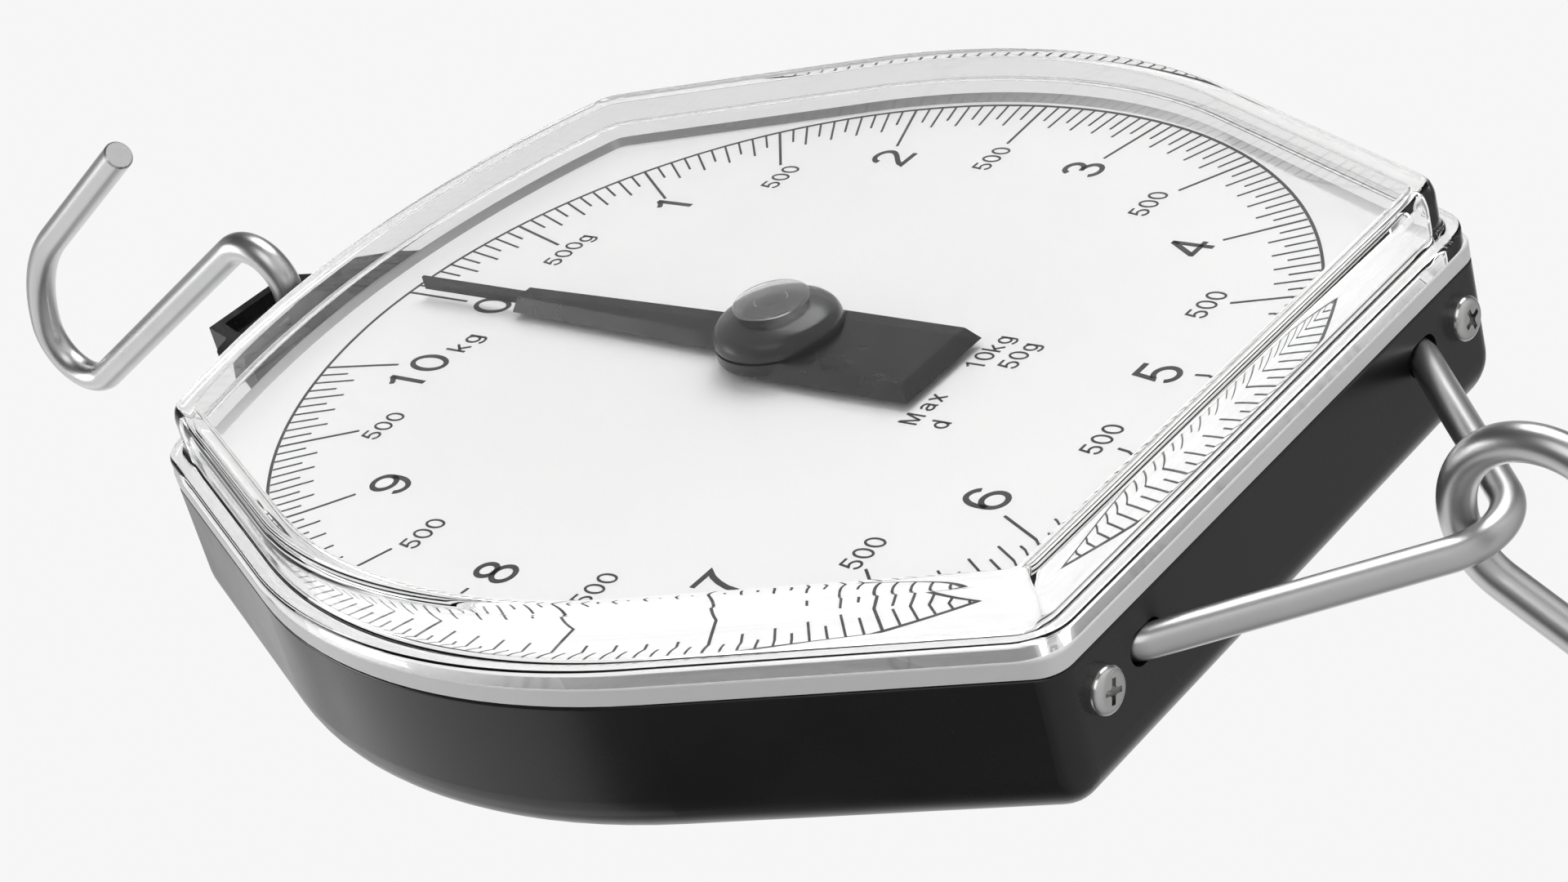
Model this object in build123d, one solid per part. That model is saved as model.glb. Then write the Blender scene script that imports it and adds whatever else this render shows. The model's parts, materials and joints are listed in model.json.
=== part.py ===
from build123d import *
import math
import os

# Hanging spring scale with a 6 inch class dial, 10 kg by 50 g.
#
# Every piece is drawn in the dial's own frame: x to the right of the face, y up towards the top
# hook, z out of the face, with zero at the spindle on the dial's graduated circle. At the end each
# piece is turned upright (+Z up, face towards -Y) and moved so that the row's origin is the inside
# top of the top hook's bend, where the scale hangs.

# ---- dial, face outline (mm) ------------------------------------------------------------------
FULL_LOAD_DEG = 342.857      # pointer travel for 10 kg: 34.2857 degrees for each kilogram
SIDE_R = 76.4                # window outline: side arcs about the spindle
UPPER_FLANK_DEG = 26.6       # where the side arc turns into the straight upper flank
LOWER_FLANK_DEG = -24.3      # where it turns into the straight lower flank
TOP_R = 140.0                # window outline: shallow top arc
TOP_CENTRE_Y = -58.5
BOTTOM_Y = -76.9
RIM = 3.7                    # the case and bezel stand this far outside the window

# ---- levels along z ---------------------------------------------------------------------------
LENS_TOP = 9.5
LENS_T = 2.0
FLANGE_TOP = 2.25
BEZEL_FRONT = -0.2
DIAL_FACE = -1.2
DIAL_T = 0.8
DIAL_GROW = 0.3              # the dial card reaches this far outside the window
DIAL_CORNER = 1.1
DIAL_HOLE_R = 4.0
BEZEL_BACK = -2.8
BEZEL_LEDGE = 6.0            # width of the ledge that the dial card lies on
CASE_FRONT = -3.05
CASE_BACK = -24.5
CASE_WALL = 2.4
BACK_EDGE_R = 7.0

# ---- wires ------------------------------------------------------------------------------------
HOOK_WIRE_R = 2.5
BAIL_WIRE_R = 2.25
BAIL_Z = -9.1
BAIL_X = 35.5                # upright ends of the bail
BAIL_APEX_Y = -113.7         # where the two slanting legs would meet
BAIL_APEX_R = 10.7
BAIL_SLOPE = 0.964           # rise over run of the slanting legs
BAIL_CORNER_R = 5.0

# ---- chassis ----------------------------------------------------------------------------------
PLATE_FRONT = -9.0
PLATE_T = 2.0
PLATE_MID = PLATE_FRONT - PLATE_T / 2
PLATE_BACK = PLATE_FRONT - PLATE_T
PLATE_HALF = 30.5
SEAT_R = PLATE_T / 2         # rounded edge that the top hook bears on
SEAT_Y = 108.05
TONGUE_HALF = 7.5
TONGUE_TOP = 113.4
HOOK_WINDOW_HALF = 3.4       # way through the tongue for the top hook
HOOK_WINDOW_LOW = 97.5

# ---- movement ---------------------------------------------------------------------------------
MODULE = 0.5
PINION_TEETH = 16
PITCH_R = MODULE * PINION_TEETH / 2
TRAVEL = PITCH_R * math.radians(FULL_LOAD_DEG)
BACKLASH = 0.07
RACK_FRONT = -4.8
RACK_BACK = -7.8
SPRING_X = 20.0
SPRING_Z = PLATE_MID
SPRING_R = 5.0               # mean coil radius
SPRING_WIRE_R = 0.85
SPRING_PITCH = 1.8
SPRING_TURNS = 40
SPRING_TOP = 50.0
SPRING_BOTTOM = SPRING_TOP - SPRING_PITCH * SPRING_TURNS
CROSSHEAD_Y = -40.0
CROSSHEAD_H = 8.0
CROSSHEAD_FRONT = -5.0
CROSSHEAD_BACK = -8.6
SPINDLE_R = 1.5
FIT = 0.05                   # radial clearance of pins, screws and running shafts

# ---- fixings ----------------------------------------------------------------------------------
CASE_SCREW_X = 44.7
CASE_SCREW_Z = -9.0
PAN_R = 3.2
PAN_H = 1.9
LUGS = [(54.5, 46.4), (52.6, -52.5)]
LUG_SPOTS = [(s * x, y) for x, y in LUGS for s in (-1, 1)]
LUG_SEAT = -22.4             # where the bezel screws' heads sit, inside their counterbores
LUG_PAD_R = 5.0              # bezel's thickened pads and the posts under them
LUG_POST_R = 3.2
LUG_POST_END = -5.2
TUBE_R = 3.9                 # case's tubes round the bezel screws
TUBE_END = -5.4
SCREW_WAY_R = 1.6            # clearance hole for a screw's shank
BEZEL_SCREW_R = 1.2
CASE_SCREW_R = 1.45
CASE_SCREW_LENGTH = 5.5


# ---- helpers ----------------------------------------------------------------------------------
def outline(grow, corner):
    """Closed face of the window outline, moved out by grow, with its four corners rounded."""
    side = SIDE_R + grow
    bottom = BOTTOM_Y - grow
    top = TOP_R + grow
    up, low = math.radians(UPPER_FLANK_DEG), math.radians(LOWER_FLANK_DEG)
    hi = Vector(side * math.cos(up), side * math.sin(up))
    lo = Vector(side * math.cos(low), side * math.sin(low))
    along = Vector(-math.sin(up), math.cos(up))
    rel = hi - Vector(0, TOP_CENTRE_Y)
    b = rel.dot(along)
    run = -b + math.sqrt(b * b - rel.dot(rel) + top * top)
    shoulder = hi + along * run
    foot = lo + Vector(math.sin(low), -math.cos(low)) * ((lo.Y - bottom) / math.cos(low))

    def flip(p):
        return Vector(-p.X, p.Y)

    with BuildSketch() as sketch:
        with BuildLine():
            ThreePointArc(lo, Vector(side, 0), hi)
            Line(hi, shoulder)
            ThreePointArc(shoulder, Vector(0, TOP_CENTRE_Y + top), flip(shoulder))
            Line(flip(shoulder), flip(hi))
            ThreePointArc(flip(hi), Vector(-side, 0), flip(lo))
            Line(flip(lo), flip(foot))
            Line(flip(foot), foot)
            Line(foot, lo)
        make_face()
        if corner > 0:
            sharp = [v for v in sketch.vertices() if abs(v.X) < side * 0.75]
            fillet(sharp, corner)
    return sketch.sketch


def slab(face, z_low, z_high):
    """A flat face pushed through from z_low to z_high."""
    return extrude(Pos(0, 0, z_low) * face, z_high - z_low, dir=(0, 0, 1))


def block(x, y, z):
    """A box from three (low, high) pairs."""
    centre = [(low + high) / 2 for low, high in (x, y, z)]
    return Pos(*centre) * Box(x[1] - x[0], y[1] - y[0], z[1] - z[0])


def rod(radius, z_low, z_high, x=0.0, y=0.0):
    """A cylinder along z."""
    return Pos(x, y, (z_low + z_high) / 2) * Cylinder(radius, z_high - z_low)


def upright_rod(radius, y_low, y_high, x, z):
    """A cylinder along y."""
    return Pos(x, (y_low + y_high) / 2, z) * Rot(90, 0, 0) * Cylinder(radius, y_high - y_low)


def wire(points, radii, radius):
    """A round wire along straight runs joined by tangent arcs."""
    path = FilletPolyline(*points, radius=radii)
    return sweep(Plane(path @ 0, z_dir=path % 0) * Circle(radius), path=path)


def both_sides(maker):
    """The same piece at the left and at the right, as two solids."""
    return Compound(children=[maker(-1), maker(1)])


def edges_at(part, z, tolerance=0.01):
    """Edges that lie wholly at one level."""
    return [e for e in part.edges() if abs(e.bounding_box().min.Z - z) < tolerance
            and abs(e.bounding_box().max.Z - z) < tolerance]


# ---- housing ----------------------------------------------------------------------------------
BOSS_FRONT = -6.75
BOSS_BACK = -16.5
BOSS_END = 115.9
BOSS_RIM = 1.9
BAIL_HOLE_X = 34.45
BAIL_HOLE = (7.2, 4.8)       # length and width of the long holes


def boss_face():
    """Outline of the black boss round the hook seat, down into the case's top wall."""
    half = [(8.8, BOSS_END), (10.7, 109.6), (14.9, 108.2), (16.4, 101.5), (22.5, 93.5), (24.5, 80.0)]
    points = half + [(-x, y) for x, y in reversed(half)]
    radii = [0.8, 1.2, 3.0, 3.0, 4.0]
    line = FilletPolyline(*points, radius=radii[1:] + [0.5, 0.5] + radii[:0:-1])
    return make_face([line, Line(line @ 1, line @ 0)])


def rear_case():
    case = slab(outline(RIM, 1 + RIM), CASE_BACK, CASE_FRONT)
    case = fillet(edges_at(case, CASE_BACK), BACK_EDGE_R)
    boss = slab(boss_face(), BOSS_BACK, BOSS_FRONT)
    boss = fillet(edges_at(boss, BOSS_BACK), 1.0)
    case = case + boss
    inner = RIM - CASE_WALL
    floor = CASE_BACK + CASE_WALL
    cavity = slab(outline(inner, 2.0), floor, CASE_FRONT + 1)
    cavity = fillet(edges_at(cavity, floor), BACK_EDGE_R - CASE_WALL)
    case = case - cavity
    case = fillet([e for e in edges_at(case, CASE_FRONT) if e.center().length > SIDE_R + 2], 0.4)
    # screw tubes for the bezel, open to the back through a counterbore
    for x, y in LUG_SPOTS:
        case = case + rod(TUBE_R, floor - 0.5, TUBE_END, x, y)
        case = case - rod(SCREW_WAY_R, CASE_BACK - 1, TUBE_END + 0.4, x, y)
        case = case - rod(PAN_R + 0.1, CASE_BACK - 1, LUG_SEAT, x, y)
    # pocket at the front of the boss, slit for the chassis tongue, way through for the hook
    pocket = Polygon((7.0, BOSS_END - BOSS_RIM), (8.6, 109.5), (8.6, 93.0), (-8.6, 93.0),
                     (-8.6, 109.5), (-7.0, BOSS_END - BOSS_RIM), align=None)
    case = case - slab(pocket, PLATE_FRONT + 0.1, BOSS_FRONT + 1)
    case = case - block((-TONGUE_HALF - 0.1, TONGUE_HALF + 0.1), (78, TONGUE_TOP + 0.1),
                        (PLATE_BACK - 0.1, PLATE_FRONT + 0.1))
    case = case - block((-HOOK_WINDOW_HALF - 0.2, HOOK_WINDOW_HALF + 0.2), (HOOK_WINDOW_LOW, 111.0),
                        (BOSS_BACK - 1, PLATE_BACK))
    # bottom wall: two long holes for the bail and two screw holes
    for s in (-1, 1):
        hole = Pos(s * BAIL_HOLE_X, BAIL_Z) * SlotOverall(*BAIL_HOLE)
        case = case - extrude(Plane.XZ.offset(76) * hole, 8)
        case = case - upright_rod(SCREW_WAY_R, -82, -76, s * CASE_SCREW_X, CASE_SCREW_Z)
    return case


def front_bezel():
    ring = slab(outline(RIM, 1 + RIM), BEZEL_BACK, BEZEL_FRONT)
    ring = fillet([e for e in edges_at(ring, BEZEL_FRONT)], 0.5)
    ring = ring - slab(outline(DIAL_GROW + 0.1, DIAL_CORNER + 0.1), DIAL_FACE - DIAL_T, BEZEL_FRONT + 1)
    ring = ring - slab(outline(-BEZEL_LEDGE, 0.5), BEZEL_BACK - 1, BEZEL_FRONT)
    for x, y in LUG_SPOTS:
        ring = ring + rod(LUG_PAD_R, BEZEL_BACK, DIAL_FACE - DIAL_T, x, y)
        ring = ring + rod(LUG_POST_R, LUG_POST_END, BEZEL_BACK + 0.1, x, y)
    for x, y in LUG_SPOTS:
        ring = ring - rod(BEZEL_SCREW_R + FIT, LUG_POST_END - 1, BEZEL_BACK + 0.2, x, y)
    return ring


def case_gasket():
    return slab(outline(RIM - 0.35, 4.2), CASE_FRONT, BEZEL_BACK) - slab(outline(RIM - 2.2, 2.2), -4, 0)


def dial_plate():
    plate = slab(outline(DIAL_GROW, DIAL_CORNER), DIAL_FACE - DIAL_T, DIAL_FACE)
    return plate - rod(DIAL_HOLE_R, DIAL_FACE - DIAL_T - 1, DIAL_FACE + 1)


def lens_cover():
    flange = slab(outline(RIM, 1 + RIM), BEZEL_FRONT, FLANGE_TOP)
    flange = fillet(edges_at(flange, FLANGE_TOP), 1.6)
    body = flange + slab(outline(0, 1.0), BEZEL_FRONT, LENS_TOP)
    body = fillet(edges_at(body, LENS_TOP), 1.8)
    hollow = slab(outline(-LENS_T, 0.6), BEZEL_FRONT - 1, LENS_TOP - LENS_T)
    hollow = fillet(edges_at(hollow, LENS_TOP - LENS_T), 1.0)
    return body - hollow


def cap_bumper():
    """Clear pad under the lens that keeps the pointer cap off it, dimpled in the middle."""
    pad = rod(5.55, 7.0, 7.45)
    return pad - rod(2.35, 6.9, 7.15)


# ---- chassis and fixed parts of the movement --------------------------------------------------
WINDOW_X = (12.8, 27.2)
WINDOW_Y = (-70.0, 57.0)
FLANGE_Y = (-78.1, -76.1)
ANCHOR_Y = 62.0
STANDOFFS = [(-3.0, 15.0), (-3.0, -15.0)]
GUIDE_HOLES = [(11.2, 4.0), (11.2, -4.0)]


def chassis():
    half = [(TONGUE_HALF, TONGUE_TOP), (TONGUE_HALF, 76.0), (PLATE_HALF, 66.0), (PLATE_HALF, FLANGE_Y[0])]
    plate = Polygon(*half, *[(-x, y) for x, y in reversed(half)], align=None)
    body = slab(plate, PLATE_BACK, PLATE_FRONT)
    flange = block((-47.2, 47.2), FLANGE_Y, (-13.5, -4.5))
    body = body + flange
    for s in (-1, 1):
        window = sorted((s * WINDOW_X[0], s * WINDOW_X[1]))
        body = body - block(window, WINDOW_Y, (PLATE_BACK - 1, PLATE_FRONT + 1))
        body = body - rod(SPINDLE_R + FIT, -12, -8, s * SPRING_X, ANCHOR_Y)
        body = body - block(sorted((s * 32.2, s * 38.8)), (-79, -75), (-12.3, -5.9))
        body = body - upright_rod(CASE_SCREW_R + FIT, -79, -75, s * CASE_SCREW_X, CASE_SCREW_Z)
    # window for the hook, with its far edge rounded as the seat
    across = (-HOOK_WINDOW_HALF, HOOK_WINDOW_HALF)
    body = body - block(across, (HOOK_WINDOW_LOW, SEAT_Y + 0.5), (PLATE_BACK - 1, PLATE_FRONT + 1))
    seat = Pos(0, SEAT_Y, PLATE_MID) * Rot(0, 90, 0) * Cylinder(SEAT_R, 2 * HOOK_WINDOW_HALF)
    body = body + seat + block(across, (SEAT_Y, SEAT_Y + 0.6), (PLATE_BACK, PLATE_FRONT))
    body = body - rod(3.0 + FIT, -12, -8)
    for x, y in STANDOFFS:
        body = body - rod(1.2 + FIT, -12, -8, x, y)
    for x, y in GUIDE_HOLES:
        body = body - rod(0.8 + FIT, -12, -8, x, y)
    return body


def rear_bush():
    """Flanged brass bush in the chassis."""
    return rod(3.0, PLATE_BACK, PLATE_FRONT) + rod(4.2, -12.0, PLATE_BACK) - rod(SPINDLE_R + FIT, -13, -8)


BRIDGE_BACK = -3.4
BRIDGE_FRONT = -2.6


def front_bridge():
    strip = slab(Pos(-3, 0) * SlotOverall(36, 8, rotation=90), BRIDGE_BACK, BRIDGE_FRONT)
    bridge = strip + rod(4.6, BRIDGE_BACK, BRIDGE_FRONT)
    bridge = bridge - rod(2.4 + FIT, -5, 0)
    for x, y in STANDOFFS:
        bridge = bridge - rod(1.2 + FIT, -5, 0, x, y)
    return bridge


def front_bush():
    bush = rod(2.4, BRIDGE_BACK - 0.4, BRIDGE_FRONT) + rod(3.2, BRIDGE_BACK - 0.4, BRIDGE_BACK)
    return bush - rod(SPINDLE_R + FIT, -5, 0)


def bridge_standoffs():
    pillars = []
    for x, y in STANDOFFS:
        pillar = rod(2.4, PLATE_FRONT, BRIDGE_BACK, x, y) - rod(1.2 + FIT, -10, -2, x, y)
        pillars.append(pillar)
    return Compound(children=pillars)


def bridge_screws():
    """Screws from the back of the chassis through the pillars to the bridge."""
    screws = []
    for x, y in STANDOFFS:
        screws.append(rod(1.2, PLATE_BACK, BRIDGE_FRONT, x, y) + rod(2.2, -12.2, PLATE_BACK, x, y))
    return Compound(children=screws)


RACK_BACK_X = 9.4
GUIDE_X = (9.5, 12.6)


def rack_guide():
    """Brass guide that keeps the rack in mesh, with a lip over the rack's front."""
    guide = block(GUIDE_X, (-6.5, 6.5), (PLATE_FRONT, -3.6)) + block((7.6, GUIDE_X[1]), (-6.5, 6.5), (-4.6, -3.6))
    for x, y in GUIDE_HOLES:
        guide = guide - rod(0.8 + FIT, -10, -2, x, y)
    return guide


def guide_screws():
    screws = []
    for x, y in GUIDE_HOLES:
        screws.append(rod(0.8, PLATE_BACK, -4.4, x, y) + rod(1.6, PLATE_BACK - 0.9, PLATE_BACK, x, y))
    return Compound(children=screws)


def upper_anchors():
    """Plugs screwed into the springs' top coils, forked over the chassis plate."""
    def anchor(s):
        x = s * SPRING_X
        plug = upright_rod(SPRING_R - SPRING_WIRE_R - FIT, SPRING_TOP - 9, SPRING_TOP + 2.2, x, SPRING_Z)
        collar = upright_rod(5.6, SPRING_TOP + 1.2, SPRING_TOP + 3.2, x, SPRING_Z)
        fork = block((x - 3.6, x + 3.6), (SPRING_TOP + 3.2, ANCHOR_Y + 3.4), (-13.6, -6.4))
        gap = block((x - 4, x + 4), (WINDOW_Y[1] - 0.6, ANCHOR_Y + 4), (PLATE_BACK - FIT, PLATE_FRONT + FIT))
        return plug + collar + fork - gap - rod(SPINDLE_R + FIT, -14, -6, x, ANCHOR_Y)
    return both_sides(anchor)


def upper_anchor_pins():
    def pin(s):
        x = s * SPRING_X
        return rod(SPINDLE_R, -14.2, -6.4, x, ANCHOR_Y) + rod(2.4, -6.4, -5.4, x, ANCHOR_Y)
    return both_sides(pin)


def springs():
    """Two long extension springs between the chassis and the crosshead."""
    def spring(s):
        helix = Helix(SPRING_PITCH, SPRING_PITCH * SPRING_TURNS, SPRING_R)
        start = Plane(helix @ 0, z_dir=helix % 0)
        coil = sweep(start * Circle(SPRING_WIRE_R), path=helix, is_frenet=True)
        return Pos(s * SPRING_X, SPRING_BOTTOM, SPRING_Z) * Rot(-90, 0, 0) * coil
    return both_sides(spring)


# ---- load carriage ----------------------------------------------------------------------------
def lower_anchors():
    """Plugs screwed into the springs' bottom coils, each with a flat tang behind the crosshead."""
    def anchor(s):
        x = s * SPRING_X
        plug = upright_rod(SPRING_R - SPRING_WIRE_R - FIT, SPRING_BOTTOM - 2.2, SPRING_BOTTOM + 9, x, SPRING_Z)
        collar = upright_rod(5.6, SPRING_BOTTOM - 3.2, SPRING_BOTTOM - 1.2, x, SPRING_Z)
        tang = block((x - 3.6, x + 3.6), (CROSSHEAD_Y - 3.6, SPRING_BOTTOM - 3.0), (-11.6, CROSSHEAD_BACK - FIT))
        return plug + collar + tang - rod(SPINDLE_R + FIT, -13, -6, x, CROSSHEAD_Y)
    return both_sides(anchor)


def lower_anchor_pins():
    def pin(s):
        x = s * SPRING_X
        return rod(SPINDLE_R, -12.4, CROSSHEAD_FRONT, x, CROSSHEAD_Y) + rod(
            2.4, CROSSHEAD_FRONT, CROSSHEAD_FRONT + 1, x, CROSSHEAD_Y)
    return both_sides(pin)


RACK_SCREWS_X = (1.8, 12.2)


def crosshead():
    span = (CROSSHEAD_Y - CROSSHEAD_H / 2, CROSSHEAD_Y + CROSSHEAD_H / 2)
    bar = block((-39.6, 39.6), span, (CROSSHEAD_BACK, CROSSHEAD_FRONT))
    for s in (-1, 1):
        bar = bar + block(sorted((s * 31.4, s * 39.6)), span, (-13.2, CROSSHEAD_FRONT))
        bar = bar - rod(SPINDLE_R + FIT, -10, -4, s * SPRING_X, CROSSHEAD_Y)
    for s in (-1, 1):
        bar = bar - upright_rod(BAIL_WIRE_R + FIT, span[0] - 1, span[1] + 1, s * BAIL_X, BAIL_Z)
    for x in RACK_SCREWS_X:
        bar = bar - rod(1.0 + FIT, -10, -4, x, CROSSHEAD_Y)
    return bar


def bail():
    corner_y = BAIL_APEX_Y + BAIL_X * BAIL_SLOPE
    top = CROSSHEAD_Y + CROSSHEAD_H / 2 + 4.0
    points = [(-BAIL_X, top, BAIL_Z), (-BAIL_X, corner_y, BAIL_Z), (0, BAIL_APEX_Y, BAIL_Z),
              (BAIL_X, corner_y, BAIL_Z), (BAIL_X, top, BAIL_Z)]
    return wire(points, [BAIL_CORNER_R, BAIL_APEX_R, BAIL_CORNER_R], BAIL_WIRE_R)


def bail_nuts():
    """Hexagon nuts above and below the crosshead on each upright."""
    nuts = []
    half = CROSSHEAD_H / 2
    for s in (-1, 1):
        for low in (CROSSHEAD_Y + half, CROSSHEAD_Y - half - 3.0):
            hexagon = extrude(RegularPolygon(4.0, 6), 3.0) - Pos(0, 0, 1.5) * Cylinder(BAIL_WIRE_R + FIT, 4)
            nuts.append(Pos(s * BAIL_X, low, BAIL_Z) * Rot(-90, 0, 0) * hexagon)
    return Compound(children=nuts)


def rack():
    """Rack with a foot lapped on the crosshead. A tooth gap faces the spindle at rest."""
    pitch = math.pi * MODULE
    pressure = math.tan(math.radians(20))
    tip_x, root_x = PITCH_R - 0.9 * MODULE, PITCH_R + 1.25 * MODULE
    low, high = -4.0, TRAVEL + 5.0
    points = [(RACK_BACK_X, high), (root_x, high)]
    count = int((high - low) / pitch)
    first = math.floor(low / pitch) + 1
    for k in range(first + count - 1, first - 1, -1):
        middle = (k + 0.5) * pitch
        for x, sign in ((root_x, 1), (tip_x, 1), (tip_x, -1), (root_x, -1)):
            half = pitch / 4 - BACKLASH / 2 + (x - PITCH_R) * pressure
            points.append((x, middle + sign * half))
    points += [(root_x, low - 2), (root_x, CROSSHEAD_Y + 8), (RACK_BACK_X, CROSSHEAD_Y + 8)]
    strip = slab(Polygon(*points, align=None), RACK_BACK, RACK_FRONT)
    neck = block((root_x, RACK_BACK_X), (CROSSHEAD_Y + 4.2, CROSSHEAD_Y + 9), (RACK_BACK, -3.6))
    foot = block((-1.0, 15.0), (CROSSHEAD_Y - 3, CROSSHEAD_Y + 7), (CROSSHEAD_FRONT, -3.6))
    part = strip + neck + foot
    for x in RACK_SCREWS_X:
        part = part - rod(1.0 + FIT, -6, -2, x, CROSSHEAD_Y)
    return part


def rack_screws():
    screws = [rod(1.0, CROSSHEAD_BACK, -3.6, x, CROSSHEAD_Y) + rod(1.9, -3.6, -2.6, x, CROSSHEAD_Y)
              for x in RACK_SCREWS_X]
    return Compound(children=screws)


# ---- spindle and pointer ----------------------------------------------------------------------
CAP_RIM_Z = 2.35
CAP_R = 9.35
CAP_TOP = 6.85
CAP_RIM_R = 2.6
POINTER_LOW = -0.1
POINTER_HIGH = 2.1


def spindle():
    shaft = rod(SPINDLE_R, -13.0, 4.6)
    groove = rod(SPINDLE_R + 1, -12.75, -12.25) - rod(1.1, -13, -12)
    return shaft - groove


def spindle_clip():
    """Spring clip in the spindle's groove behind the rear bush."""
    return rod(2.8, -12.7, -12.3) - rod(1.1 + FIT, -13, -12) - block((-1.0, 1.0), (0, 4), (-13, -12))


def involute(base_r, radius):
    """Angle swept by an involute of a base circle out to a radius."""
    if radius <= base_r:
        return 0.0
    roll = math.sqrt((radius / base_r) ** 2 - 1)
    return roll - math.atan(roll)


def pinion():
    """Sixteen-tooth pinion with a tooth pointing at the rack's tooth gap at rest."""
    base_r = PITCH_R * math.cos(math.radians(20))
    tip_r, root_r = PITCH_R + 0.9 * MODULE, PITCH_R - 1.25 * MODULE
    half_at_pitch = math.pi / (2 * PINION_TEETH) - BACKLASH / (2 * PITCH_R)
    radii = [base_r + (tip_r - base_r) * k / 5 for k in range(6)]
    points = []
    for tooth in range(PINION_TEETH):
        centre = 2 * math.pi * tooth / PINION_TEETH
        flank = [half_at_pitch + involute(base_r, PITCH_R) - involute(base_r, r) for r in radii]
        rising = [(r, -a) for r, a in zip([root_r] + radii, [flank[0]] + flank)]
        falling = [(r, -a) for r, a in reversed(rising)]
        points += [(r * math.cos(centre + a), r * math.sin(centre + a)) for r, a in rising + falling]
    gear = slab(Polygon(*points, align=None), -7.6, -5.0)
    hub = rod(2.9, -8.6, -7.6) + rod(2.9, -5.0, -4.0)
    return gear + hub - rod(SPINDLE_R, -10, -3)


def drafted(face, angle):
    """Part of the pointer moulding, with sides that lean in towards its front."""
    return extrude(Pos(0, 0, POINTER_LOW) * face, POINTER_HIGH - POINTER_LOW, dir=(0, 0, 1), taper=angle)


def pointer():
    """Moulded pointer: thin upright blade, tapering arm, round hub and wide tail."""
    arm = [(2.4, 50.6), (3.7, 12.0), (3.7, -6.0)]
    arm_face = Polygon(*arm, *[(-x, y) for x, y in reversed(arm)], align=None)
    arm_body = drafted(arm_face, 24)
    tail_face = Polygon((8.9, -2.0), (8.9, -28.2), (-8.9, -28.2), (-8.9, -2.0), align=None)
    tail = drafted(tail_face, 31)
    hub = fillet(edges_at(rod(9.4, POINTER_LOW, POINTER_HIGH), POINTER_LOW), 0.9)
    blade = block((-0.25, 0.25), (49.0, 71.0), (POINTER_LOW + 0.2, POINTER_HIGH + 0.1))
    body = arm_body + tail + hub + blade
    body = body + rod(3.4, POINTER_LOW - 0.7, POINTER_LOW)
    return body - rod(SPINDLE_R + 0.02, -2, 3)


def pointer_cap():
    """Domed cap on the hub, turned by hand to set zero: a tight arc at the rim, a wide one on top."""
    spring_line = CAP_RIM_Z + 0.45
    rise = CAP_TOP - spring_line
    rim_x = CAP_R - CAP_RIM_R
    top_r = (rim_x ** 2 + rise ** 2 - CAP_RIM_R ** 2) / (2 * (rise - CAP_RIM_R))
    turn = math.atan2(top_r - rise, rim_x)
    middle = (rim_x + CAP_RIM_R * math.cos(turn / 2), spring_line + CAP_RIM_R * math.sin(turn / 2))
    meet = (rim_x + CAP_RIM_R * math.cos(turn), spring_line + CAP_RIM_R * math.sin(turn))
    half = (turn + math.pi / 2) / 2
    upper = (top_r * math.cos(half), CAP_TOP - top_r + top_r * math.sin(half))
    with BuildSketch(Plane.XZ) as profile:
        with BuildLine():
            Line((0, POINTER_HIGH), (8.5, POINTER_HIGH))
            Line((8.5, POINTER_HIGH), (8.5, CAP_RIM_Z))
            Line((8.5, CAP_RIM_Z), (CAP_R, CAP_RIM_Z))
            Line((CAP_R, CAP_RIM_Z), (CAP_R, spring_line))
            ThreePointArc((CAP_R, spring_line), middle, meet)
            ThreePointArc(meet, upper, (0, CAP_TOP))
            Line((0, CAP_TOP), (0, POINTER_HIGH))
        make_face()
    return revolve(profile.sketch, Axis.Z) - rod(SPINDLE_R + FIT, 2, 4.7)


# ---- hooks ------------------------------------------------------------------------------------
HOOK_TIP = (135.5, 18.1)
HOOK_SHOULDER = (171.36, -6.86)
HOOK_BEND = (178.4, -38.03)
HOOK_FOOT = (104.5, 9.6)
HOOK_HEEL = (104.5, -18.9)
HOOK_REAR = (133.0, -37.3)
HOOK_RADII = [29.0, 8.3, 7.1, 14.0]
LOAD_BEND_R = 11.6
LOAD_BEND_CENTRE = (-115.9, -7.6)
LEG_DEG = 35.0


def top_hook():
    points = [(0, y, z) for y, z in (HOOK_TIP, HOOK_SHOULDER, HOOK_BEND, HOOK_FOOT, HOOK_HEEL, HOOK_REAR)]
    hook = wire(points, HOOK_RADII, HOOK_WIRE_R)
    return round_tips(hook)


def round_tips(hook):
    """Break the sharp rims of a wire's two cut ends."""
    ends = [f for f in hook.faces() if f.geom_type == GeomType.PLANE]
    return chamfer([e for f in ends for e in f.edges()], 0.3)


def load_hook():
    """S hook on the bail: a round eye bend at the top and the open bend below."""
    angle = math.radians(LEG_DEG)
    normal = (math.sin(angle), -math.cos(angle))
    reach = LOAD_BEND_R * math.tan(math.radians(45))
    cy, cz = LOAD_BEND_CENTRE
    along = (math.cos(angle), math.sin(angle))
    rear = (cy + LOAD_BEND_R * normal[0], cz + LOAD_BEND_R * normal[1])
    front = (cy - LOAD_BEND_R * normal[0], cz - LOAD_BEND_R * normal[1])
    tip = (rear[0] - 32 * along[0], rear[1] - 32 * along[1])
    corner_a = (rear[0] + reach * along[0], rear[1] + reach * along[1])
    corner_b = (front[0] + reach * along[0], front[1] + reach * along[1])
    leg = 68.0
    bend = (front[0] - leg * along[0], front[1] - leg * along[1])
    shoulder = (bend[0] + 7.0, bend[1] + 31.2)
    end = (shoulder[0] + 35.9, shoulder[1] + 25.0)
    points = [(0, y, z) for y, z in (tip, corner_a, corner_b, bend, shoulder, end)]
    hook = wire(points, [LOAD_BEND_R - 0.01, LOAD_BEND_R - 0.01, 8.3, 29.0], HOOK_WIRE_R)
    return round_tips(hook)


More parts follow.
